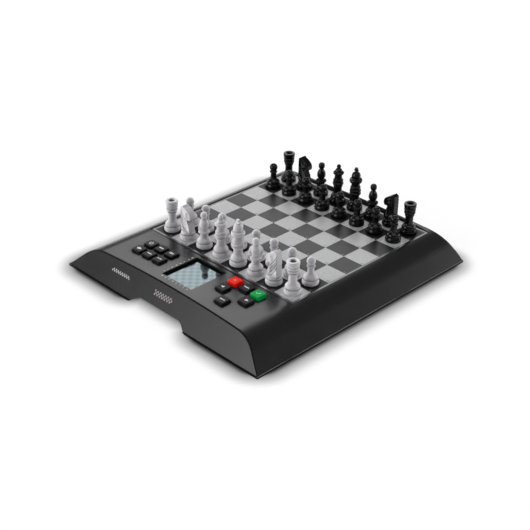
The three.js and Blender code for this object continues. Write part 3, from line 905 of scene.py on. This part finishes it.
# ---- lettering: board coordinates only ----
def letter_shape(text, size, x, y, z):
    """A short text lying flat, centred on a place, as vertices and faces in millimetres."""
    curve = bpy.data.curves.new("lettering", "FONT")
    curve.body = text
    curve.size = size
    curve.align_x = "CENTER"
    curve.align_y = "CENTER"
    curve.extrude = LABEL_THICKNESS / 2
    curve.resolution_u = 4
    holder = bpy.data.objects.new("lettering", curve)
    bpy.context.scene.collection.objects.link(holder)
    bpy.context.view_layer.update()
    graph = bpy.context.evaluated_depsgraph_get()
    mesh = bpy.data.meshes.new_from_object(holder.evaluated_get(graph))
    vertices = [(x + v.co.x, y + v.co.y, z + v.co.z) for v in mesh.vertices]
    faces = [tuple(polygon.vertices) for polygon in mesh.polygons]
    bpy.data.objects.remove(holder)
    return vertices, faces


def board_labels():
    """Each square's name in its front right corner."""
    shapes = {"light": [], "dark": []}
    for file in range(8):
        for rank in range(8):
            x = (file - 3.5) * SQUARE + LABEL_RIGHT
            y = BOARD_Y + (rank - 3.5) * SQUARE - LABEL_FRONT
            tone = "light" if (file + rank) % 2 else "dark"
            text = "abcdefgh"[file] + str(rank + 1)
            shapes[tone].append(letter_shape(text, LABEL_SIZE, x, y, BOARD_TOP))
    for tone, material in (("light", DARK_PRINT), ("dark", GREY_PRINT)):
        trim("labels_" + tone + "_squares", together(shapes[tone]), "playing_board", material)


def display_labels():
    """Files along the front of the display window and ranks along its left side."""
    shapes = []
    size = DISPLAY_LABEL_SIZE
    front_y_of_files = WINDOW_FRONT_Y - 2.6
    side_x = -WINDOW_HALF_X - 2.4
    for index in range(8):
        offset = (index - 3.5) * DISPLAY_LABEL_PITCH
        file, rank = "ABCDEFGH"[index], str(index + 1)
        shapes.append(letter_shape(file, size, offset, front_y_of_files, crown_z(offset)))
        shapes.append(letter_shape(rank, size, side_x, WINDOW_MIDDLE_Y + offset, crown_z(side_x)))
    trim("labels_display", together(shapes), "top_housing", WHITE_PRINT)


def check_strip(columns, rows, cell, middle_x):
    """Small squares in a check pattern, lying in X and Y about a middle."""
    shapes = []
    half = cell / 2
    for column in range(columns):
        for row in range(rows):
            if (column + row) % 2 == 0:
                x = middle_x + (column - columns / 2 + 0.5) * cell
                y = (row - rows / 2 + 0.5) * cell
                shapes.append(along_z(oblong(x, y, half, half), -0.05, 0.04))
    return shapes


def front_marks():
    """Two plain strips of small checks on the front face, in place of the printed marks."""
    slope = math.atan2(1, FRONT_LEAN)
    for name, strip_z, shapes, material in (
        ("mark_checks_middle", 19.0, check_strip(14, 3, 1.85, 0), GREY_PRINT),
        ("mark_checks_left", 18.0, check_strip(17, 2, 1.6, -64), PALE_PRINT),
    ):
        place = Matrix.Translation((0, front_y(strip_z), strip_z)) @ Matrix.Rotation(slope, 4, "X")
        trim(name, moved(together(shapes), place), "top_housing", material)


# ---- keys ----
def key_shape(node):
    low, high = box_mm(node)
    centre = middle_mm(node)
    surface = crown_z(centre.x)
    top = high.z
    half = KEY_SIZE / 2
    flange_top = crown_z(abs(centre.x) + half + KEY_FLANGE) - WALL - CLEARANCE
    side = softened([
        (0, low.z, 0),
        (0, flange_top - 1, 0),
        (-KEY_FLANGE, flange_top - 1, 0),
        (-KEY_FLANGE, flange_top, 0),
        (0, flange_top, 0),
        (0, surface + 0.3, 0),
        (0.35, top - 0.3, 0.2),
        (0.75, top - 0.02, 0.3),
        (5.2, top, 0),
    ], steps=5)
    loops = []
    for inset, z in side:
        size = half - inset
        corner = min(max(KEY_CORNER - 0.25 * inset, 0.6), 0.9 * size)
        plan = rounded_rectangle(size, size, corner, centre.x, centre.y)
        loops.append([(x, y, z) for x, y in plan])
    return lofted(loops), Vector((centre.x, centre.y, top))


def stroke(points, width):
    """A bent line of even width as an outline."""
    left, right = [], []
    for index, point in enumerate(points):
        before = Vector(points[max(index - 1, 0)])
        after = Vector(points[min(index + 1, len(points) - 1)])
        along = (after - before).normalized()
        side = Vector((-along.y, along.x)) * width / 2
        left.append(tuple(Vector(point) + side))
        right.append(tuple(Vector(point) - side))
    return right + left[::-1]


def ring_mark(radius, width, start, end):
    return stroke(arc_points(0, 0, radius, start, end, 20), width)


def wedge(x, y, size, turn):
    """A triangle that points along an angle in degrees."""
    corners = [math.radians(turn + step) for step in (0, 130, 230)]
    return [(x + size * math.cos(angle), y + size * math.sin(angle)) for angle in corners]


KEY_MARKS = {
    "key_power": [ring_mark(2.1, 0.65, 125, 415), oblong(0, 1.7, 0.33, 1.3)],
    "key_play": [wedge(0.3, 0, 3.0, 0), oblong(-2.2, 0, 0.8, 0.7)],
    "key_function_1": [oblong(x, 0, 0.8, 0.8) for x in (-2.1, 0, 2.1)],
    "key_function_2": [oblong(0, 0.8, 2.9, 0.4), oblong(0, -0.8, 2.9, 0.4)],
    "key_function_3": [oblong(0, 0, 3.0, 0.6)],
    "key_function_4": [oblong(-1.6, 0, 1.2, 0.65), oblong(1.6, 0, 1.2, 0.65)],
    "key_red": [stroke([(-1.7, -1.7), (1.7, 1.7)], 0.8), stroke([(-1.7, 1.7), (1.7, -1.7)], 0.8)],
    "key_green": [stroke([(-2.2, 0.2), (-0.6, -1.5), (2.3, 1.7)], 0.8)],
    "key_up": [oblong(0, 0, 3.1, 0.6)],
    "key_left": [wedge(-0.6, 0, 2.3, 180)],
    "key_right": [wedge(0.6, 0, 2.3, 0)],
    "key_down": [oblong(-0.9, 0, 2.1, 0.6), wedge(2.5, 0, 1.2, 0)],
}
KEY_LOOKS = {
    "key_red": (KEY_RED, RED_PRINT, "key_red"),
    "key_green": (KEY_GREEN, GREEN_PRINT, "key_green"),
}


def keys():
    for node in KEY_NODES:
        shape, top = key_shape(node)
        material, print_material, slot = KEY_LOOKS.get(node, (KEY_BLACK, WHITE_PRINT, "key_black"))
        stand_in(add_shape(node + "_cap", shape, 50), node, material)
        marks = together([along_z(outline, -0.15, 0.05) for outline in KEY_MARKS[node]])
        trim(node + "_mark", moved(marks, Matrix.Translation(top)), node, print_material)


# ---- small parts ----
def power_socket():
    """A barrel inlet: an open tube with a centre pin, looking out of the back wall."""
    centre = middle_mm("power_socket")
    radius = (SOCKET_HIGH.x - SOCKET_LOW.x) / 2
    length = SOCKET_HIGH.y - SOCKET_LOW.y
    barrel = softened([
        (0, 0, 0),
        (radius, 0, 0.2),
        (radius, length, 0.3),
        (3.1, length, 0.2),
        (2.9, length - 9, 0),
        (0.9, length - 9, 0),
        (0.9, length - 1.5, 0.5),
        (0, length - 1.5, 0),
    ])
    turn = Matrix.Rotation(math.radians(-90), 4, "X")
    place = Matrix.Translation((centre.x, SOCKET_LOW.y, centre.z)) @ turn
    inlet = add_shape("inlet_barrel", moved(turned(barrel, 40), place))
    stand_in(inlet, "power_socket", SOCKET)


def rubber_feet():
    for node in FOOT_NODES:
        low, high = box_mm(node)
        centre = middle_mm(node)
        radius = (high.x - low.x) / 2
        profile = softened([
            (0, 0.12, 0), (radius - 1.6, 0.12, 0.3), (radius - 1.2, 0, 0.3), (radius - 0.4, 0, 0.3),
            (radius, 0.5, 0.3), (radius, high.z, 0.2), (0, high.z, 0),
        ])
        place = Matrix.Translation((centre.x, centre.y, 0))
        pad = add_shape(node + "_pad", moved(turned(profile, 40), place))
        stand_in(pad, node, RUBBER)


def battery_cells():
    """Three round cells: a printed wrap between two steel ends, the button towards -X."""
    for node in CELL_NODES:
        low, high = box_mm(node)
        centre = middle_mm(node)
        radius = (high.z - low.z) / 2
        length = high.x - low.x
        button = 1.0
        profile = softened([
            (0, 0, 0), (radius - 1.6, 0, 0.3), (radius - 1.0, 0.3, 0.3), (radius, 0.5, 0.4),
            (radius, length - button - 0.4, 0.4), (radius - 0.8, length - button, 0.4),
            (3.0, length - button, 0.3), (2.7, length, 0.3), (0, length, 0),
        ])
        turn = Matrix.Rotation(math.radians(-90), 4, "Y")
        place = Matrix.Translation((high.x, centre.y, centre.z)) @ turn
        cell = add_shape(node + "_cell", moved(turned(profile, 40), place))

        def is_end(face_centre, normal):
            off_axis = math.hypot(face_centre.y - centre.y, face_centre.z - centre.z)
            return off_axis <= radius - 0.5

        paint(cell, (CELL_WRAP, STEEL), is_end)
        stand_in(cell, node, CELL_WRAP)


# ---- chess pieces ----
def foot_profile(radius):
    """The skirt, its sloping top, the groove and the tier over it, which every piece stands on."""
    return [
        (0, 0, 0), (radius - 0.4, 0, 0.25), (radius, 0.5, 0.35), (radius, 3.1, 0.5),
        (radius - 0.8, 5.0, 0.3), (radius - 1.7, 5.3, 0.2), (radius - 1.7, 6.0, 0.2),
        (radius - 1.1, 6.3, 0.25), (radius - 1.3, 7.6, 0.7),
    ]


PAWN = foot_profile(8.4) + [
    (6.2, 8.9, 0.7), (4.6, 10.1, 0.6), (3.7, 11.0, 0.5), (3.4, 12.6, 0.8),
    (3.1, 17.8, 0.4), (4.2, 18.4, 0.25), (4.3, 19.5, 0.25), (3.1, 20.3, 0.3),
] + arc(0, 24.3, 4.5, -48, 90, 14)

ROOK = foot_profile(8.6) + [
    (6.4, 9.2, 0.7), (5.0, 10.4, 0.6), (4.5, 11.4, 0.5), (4.3, 13.4, 0.8),
    (4.1, 19.6, 0.4), (5.0, 20.2, 0.25), (5.1, 21.4, 0.25), (4.5, 21.9, 0.2), (4.6, 22.6, 0.2),
    (5.9, 23.3, 0.25), (6.0, 24.6, 0.25), (5.2, 25.2, 0.2), (5.3, 25.9, 0.2), (6.1, 26.6, 0.25),
    (6.2, 28.0, 0.25), (5.6, 28.6, 0.2), (5.7, 29.2, 0.2), (6.4, 30.0, 0.3), (6.6, 33.6, 0.5),
    (6.1, 34.4, 0.3), (3.9, 34.4, 0.4), (3.1, 33.6, 0.4), (3.0, 31.0, 0.3), (0, 30.8, 0),
]

BISHOP = foot_profile(8.4) + [
    (6.2, 8.8, 0.7), (4.9, 9.9, 0.5), (4.4, 10.8, 0.5), (4.1, 12.2, 0.8), (3.9, 15.2, 0.4),
    (5.7, 16.0, 0.3), (6.1, 17.0, 0.3), (5.6, 18.0, 0.3), (3.6, 18.8, 0.4), (3.5, 20.4, 0.4),
    (4.6, 22.4, 0.8), (4.8, 25.4, 1.2), (4.0, 28.6, 1.2), (2.4, 30.9, 0.6), (2.1, 31.8, 0.3),
    (3.1, 32.6, 0.4), (3.6, 35.0, 0.9), (3.2, 37.3, 0.8), (1.9, 38.5, 0.6), (0, 38.8, 0),
]

QUEEN = foot_profile(8.7) + [
    (6.5, 9.4, 0.7), (5.2, 10.6, 0.6), (4.7, 11.6, 0.5), (4.5, 13.4, 0.8), (4.4, 18.2, 0.4),
    (5.0, 18.9, 0.25), (5.2, 20.4, 0.3), (4.9, 21.2, 0.2), (5.9, 21.9, 0.25), (6.0, 23.6, 0.25),
    (5.0, 24.3, 0.2), (5.0, 24.9, 0.2), (5.6, 25.6, 0.25), (5.5, 27.2, 0.25), (4.3, 27.9, 0.3),
    (4.1, 31.0, 0.6), (4.3, 33.0, 0.4), (5.8, 34.2, 0.3), (6.0, 35.6, 0.3), (5.2, 36.4, 0.2),
    (3.9, 36.9, 0.2), (4.0, 37.8, 0.3), (3.4, 39.2, 0.6), (1.7, 40.7, 0.4),
] + arc(0, 42.6, 2.4, -52, 90, 12)

KING = foot_profile(8.8) + [
    (6.7, 9.4, 0.7), (5.5, 10.6, 0.6), (5.0, 11.6, 0.5), (4.8, 13.4, 0.8), (4.7, 17.6, 0.4),
    (6.0, 18.4, 0.3), (6.3, 20.0, 0.3), (5.4, 20.7, 0.2), (5.4, 21.3, 0.2), (6.2, 22.0, 0.3),
    (6.1, 23.8, 0.3), (5.0, 24.5, 0.2), (5.0, 25.1, 0.2), (5.6, 25.8, 0.3), (5.5, 27.4, 0.3),
    (4.7, 28.1, 0.3), (4.5, 31.2, 0.4), (6.3, 32.4, 0.4), (7.0, 33.8, 0.4), (7.0, 35.4, 0.3),
    (6.4, 36.4, 0.2), (4.7, 36.8, 0.2), (4.5, 37.6, 0.2), (4.9, 38.4, 0.3), (4.9, 41.0, 0.8),
    (3.9, 43.2, 0.8), (2.2, 44.3, 0.5), (0, 44.6, 0),
]
KNIGHT_FOOT = foot_profile(8.6) + [(6.8, 8.2, 0.5), (6.0, 8.8, 0.4), (0, 9.0, 0)]

# The small cross on the king's dome, seen from the front, as X and Z.
CROSS = [
    (-1.3, 43.6, 0), (1.3, 43.6, 0), (0.9, 45.6, 0.5), (2.3, 45.3, 0.25), (2.3, 47.6, 0.25),
    (1.2, 47.3, 0.3), (1.7, 49.4, 0.25), (-1.7, 49.4, 0.25), (-1.2, 47.3, 0.3),
    (-2.3, 47.6, 0.25), (-2.3, 45.3, 0.25), (-0.9, 45.6, 0.5),
]
CROSS_THICKNESS = 2.2

# The horse's head from the side, as X and Z, with the nose towards +X.
HORSE = [
    (-6.8, 8.4, 0), (6.2, 8.4, 0), (6.4, 11, 1.4), (5.2, 16, 2.4), (2.8, 20.0, 1.6),
    (2.6, 22.6, 0.8), (4.4, 22.4, 0.8), (6.2, 22.6, 0.9), (7.4, 24.6, 1.2), (7.3, 28.4, 2.0),
    (5.6, 31.0, 2.2), (1.6, 33.8, 2.2), (-2.0, 35.4, 0.7), (-3.4, 36.9, 0.4), (-4.6, 36.0, 0.5),
    (-6.5, 35.0, 0.9), (-6.9, 30.0, 2.0), (-6.8, 16.0, 3.0),
]
HORSE_THICKNESS = 7.6


def piece_mesh(kind, outline):
    return build_mesh("shape_" + kind, *turned(softened(outline)), sharp_angle=42)


def taken_mesh(thing):
    """The mesh of a working solid, which is done with."""
    mesh = thing.data
    bpy.data.objects.remove(thing)
    shade(mesh, 42)
    return mesh


def king_mesh():
    body = solid(turned(softened(KING, steps=4)))
    half = CROSS_THICKNESS / 2
    cross = solid(along_y(softened(CROSS, steps=3, closed=True), -half, half))
    round_edges(cross, 0.3, sharp_angle=50)
    return taken_mesh(boolean(body, [cross], "UNION"))


def mane_groove(top_z, side):
    """A cutter for one long curved lock of the mane, laid in a flank of the horse's neck."""
    path = [(-7.4 + 9.0 * t ** 1.7, top_z - 15.0 * t) for t in (0, 0.2, 0.4, 0.6, 0.8, 1)]
    depth = 0.6
    flank_y = side * HORSE_THICKNESS / 2
    return solid(along_y(stroke(path, 0.55), flank_y - depth, flank_y + depth))


def knight_mesh():
    foot = solid(turned(softened(KNIGHT_FOOT)))
    half = HORSE_THICKNESS / 2
    head = solid(along_y(softened(HORSE, closed=True), -half, half))
    round_edges(head, 1.9, sharp_angle=50, segments=5)
    cutters = []
    for side in (-1, 1):
        for top_z in (35.5, 31.5, 27.5, 23.5):
            cutters.append(mane_groove(top_z, side))
    head = boolean(head, cutters, "DIFFERENCE")
    eyes = []
    for side in (-1, 1):
        eye = turned(softened(arc(0, 0, 0.8, -90, 90, 8)), 16)
        eyes.append(solid(moved(eye, Matrix.Translation((1.4, side * (half - 0.25), 29.3)))))
        cheek = turned(softened(arc(0, 0, 2.6, -90, 90, 12)), 28)
        squash = Matrix.Diagonal((1.0, 0.4, 1.0, 1.0))
        eyes.append(solid(moved(cheek, Matrix.Translation((0.8, side * (half - 0.5), 25.6)) @ squash)))
    head = boolean(head, eyes, "UNION")
    return taken_mesh(boolean(foot, [head], "UNION"))


def chess_set():
    meshes = {
        "pawn": piece_mesh("pawn", PAWN),
        "rook": piece_mesh("rook", ROOK),
        "bishop": piece_mesh("bishop", BISHOP),
        "queen": piece_mesh("queen", QUEEN),
        "king": king_mesh(),
        "knight": knight_mesh(),
    }
    for node in PIECE_NODES:
        colour, kind = node.split("_")[:2]
        centre = middle_mm(node)
        place = (centre.x, centre.y, box_mm(node)[0].z)
        mesh = meshes[kind].copy()
        mesh.name = node + "_piece"
        mesh.materials.clear()
        piece = add_object(node + "_piece", mesh, place)
        if node.endswith("knight_g"):
            piece.rotation_euler.z = math.pi
        material = IVORY if colour == "white" else JET
        stand_in(piece, node, material)


# ---- stage ----
CAMERA_LENS = 73.43
CAMERA_AZIMUTH = 44.808
CAMERA_ELEVATION = 29.872
CAMERA_ROLL = 0.849
CAMERA_AIM = Vector((0.0162, -0.0201, 0.0130))
CAMERA_DISTANCE = 1.10035


def camera():
    lens = bpy.data.cameras.new("camera")
    lens.lens = CAMERA_LENS
    lens.sensor_width = 36
    lens.clip_start = 0.05
    lens.clip_end = 100
    holder = bpy.data.objects.new("camera", lens)
    bpy.context.scene.collection.objects.link(holder)
    azimuth, elevation = math.radians(CAMERA_AZIMUTH), math.radians(CAMERA_ELEVATION)
    back = Vector((
        math.sin(azimuth) * math.cos(elevation),
        -math.cos(azimuth) * math.cos(elevation),
        math.sin(elevation),
    ))
    level = (-back).to_track_quat("-Z", "Y").to_matrix().to_4x4()
    roll = Matrix.Rotation(math.radians(CAMERA_ROLL), 4, "Z")
    holder.matrix_world = Matrix.Translation(CAMERA_AIM + back * CAMERA_DISTANCE) @ level @ roll
    bpy.context.scene.camera = holder


def direction(azimuth, elevation):
    """A unit vector. Azimuth 0 is towards -Y and 90 towards +X, as the camera's is."""
    a, e = math.radians(azimuth), math.radians(elevation)
    return (math.sin(a) * math.cos(e), -math.cos(a) * math.cos(e), math.sin(e))


# Soft boxes: azimuth, elevation, full radius and faded radius in degrees, brightness.
SOFT_BOXES = (
    (-135.5, 33, 6, 21, 2.5),
    (-17, 14, 12, 26, 5.2),
    (-22, 38, 3, 7, 10.0),
    (108, 34, 3, 7, 12.0),
    (-80, 18, 9, 20, 3.4),
    (152, 12, 8, 19, 3.4),
    (60, 74, 12, 32, 1.7),
)
AMBIENT = 0.18


def studio_light():
    """An even studio dome with broad soft boxes, all far away, so that the floor is lit evenly."""
    world = bpy.data.worlds.new("studio")
    world.use_nodes = True
    bpy.context.scene.world = world
    tree = world.node_tree
    place = add_node(tree, "ShaderNodeTexCoord").outputs["Generated"]
    total = AMBIENT
    for azimuth, elevation, full, faded, brightness in SOFT_BOXES:
        towards = direction(azimuth, elevation)
        limits = {
            "Value": vector_maths(tree, "DOT_PRODUCT", place, towards)["Value"],
            "From Min": math.cos(math.radians(faded)),
            "From Max": math.cos(math.radians(full)),
            "To Max": brightness,
        }
        kind = "ShaderNodeMapRange"
        box = add_node(tree, kind, limits, interpolation_type="SMOOTHSTEP")
        total = maths(tree, "ADD", box.outputs["Result"], total)
    connect(tree, tree.nodes["Background"].inputs["Color"], total)


WHITE_GLOW = (1, 1, 1, 1)
FLOOR_ALBEDO = 0.25
FLOOR_GLOW = 0.79
GRIP_SHADE_HALF = 38.0
GRIP_SHADE_BACK = -136.5
SHADE_REACH = 25.0
SHADE_CORNER = 22.0
# The painted soft shadow round the base: share of SHADE_REACH away from it, and share of full
# brightness.
SHADE_STEPS = (
    (0, 0.05), (0.05, 0.1), (0.1, 0.18), (0.15, 0.29), (0.2, 0.37), (0.3, 0.48),
    (0.4, 0.575), (0.5, 0.67), (0.6, 0.775), (0.7, 0.87), (0.84, 0.96), (1.0, 1.0),
)


def contact_shade(material):
    """The painted shadow round the base: a 0 to 1 factor that falls towards the base's outline, leaving
    out the grip.
    """
    tree = material.node_tree
    here = add_node(tree, "ShaderNodeTexCoord").outputs["Object"]
    half, front, back = BASE_HIGH.x, BASE_LOW.y, BASE_HIGH.y
    nearest = None
    for x0, x1, y0, y1 in (
        (-half, -GRIP_SHADE_HALF, front, back),
        (GRIP_SHADE_HALF, half, front, back),
        (-half, half, GRIP_SHADE_BACK, back),
    ):
        middle = ((x0 + x1) / 2 * MM, (y0 + y1) / 2 * MM, 0)
        extent = (((x1 - x0) / 2 - SHADE_CORNER) * MM, ((y1 - y0) / 2 - SHADE_CORNER) * MM, 1)
        away = vector_maths(tree, "SUBTRACT", here, middle)["Vector"]
        away = vector_maths(tree, "ABSOLUTE", away)["Vector"]
        away = vector_maths(tree, "SUBTRACT", away, extent)["Vector"]
        away = vector_maths(tree, "MAXIMUM", away, (0, 0, 0))["Vector"]
        distance = vector_maths(tree, "LENGTH", away)["Value"]
        nearest = distance if nearest is None else maths(tree, "MINIMUM", nearest, distance)
    outside = maths(tree, "SUBTRACT", nearest, SHADE_CORNER * MM)
    share = maths(tree, "DIVIDE", outside, SHADE_REACH * MM)
    ramp = add_node(tree, "ShaderNodeValToRGB", {"Fac": share})
    steps = ramp.color_ramp.elements
    for position, _ in SHADE_STEPS[1:-1]:
        steps.new(position)
    for step, (_, brightness) in zip(steps, SHADE_STEPS):
        step.color = (brightness, brightness, brightness, 1)
    return ramp.outputs["Color"]


FLOOR_HALF = 20000.0
FLOOR_DEPTH = 20.0
# The backdrop's outline of radius and height: its ceiling, the wall inside and out, and the roof.
BACKDROP = [(0, 5990), (5990, 5990), (5990, -10), (6000, -10), (6000, 6000), (0, 6000)]


def floor():
    """A pale floor that glows a little, with a painted shadow that darkens it near the base."""
    bottom = along_z(oblong(0, 0, FLOOR_HALF, FLOOR_HALF), -FLOOR_DEPTH, 0)
    plane = add_shape("floor", bottom)
    colour = (FLOOR_ALBEDO, FLOOR_ALBEDO, FLOOR_ALBEDO, 1)
    material = new_material("floor_white", colour, 0.9, specular=0.0)
    set_shader(material, "Emission Color", WHITE_GLOW)
    tree = material.node_tree
    shade_factor = contact_shade(material)
    set_shader(material, "Base Color", maths(tree, "MULTIPLY", shade_factor, FLOOR_ALBEDO))
    set_shader(material, "Emission Strength", maths(tree, "MULTIPLY", shade_factor, FLOOR_GLOW))
    plane.data.materials.append(material)


def backdrop():
    """A round white wall behind the floor. Only the camera sees it, so it leaves the light alone."""
    wall = add_shape("backdrop", turned(BACKDROP))
    material = new_material("backdrop_white", (0, 0, 0, 1), 0.9, specular=0.0)
    set_shader(material, "Emission Color", WHITE_GLOW)
    set_shader(material, "Emission Strength", 1.0)
    wall.data.materials.append(material)
    wall.visible_diffuse = False
    wall.visible_glossy = False
    wall.visible_transmission = False
    wall.visible_shadow = False


# ---- assembly ----
top_housing()
rim_shade()
bottom_housing()
battery_cover()
playing_board()
display()
board_labels()
display_labels()
front_marks()
keys()
power_socket()
rubber_feet()
battery_cells()
chess_set()
dress("sensor_membrane", FILM)
dress("main_circuit_board", CIRCUIT)
dress("key_contact_mat", MAT_RUBBER)

camera()
studio_light()
floor()
backdrop()
bpy.context.scene.view_settings.view_transform = "Standard"
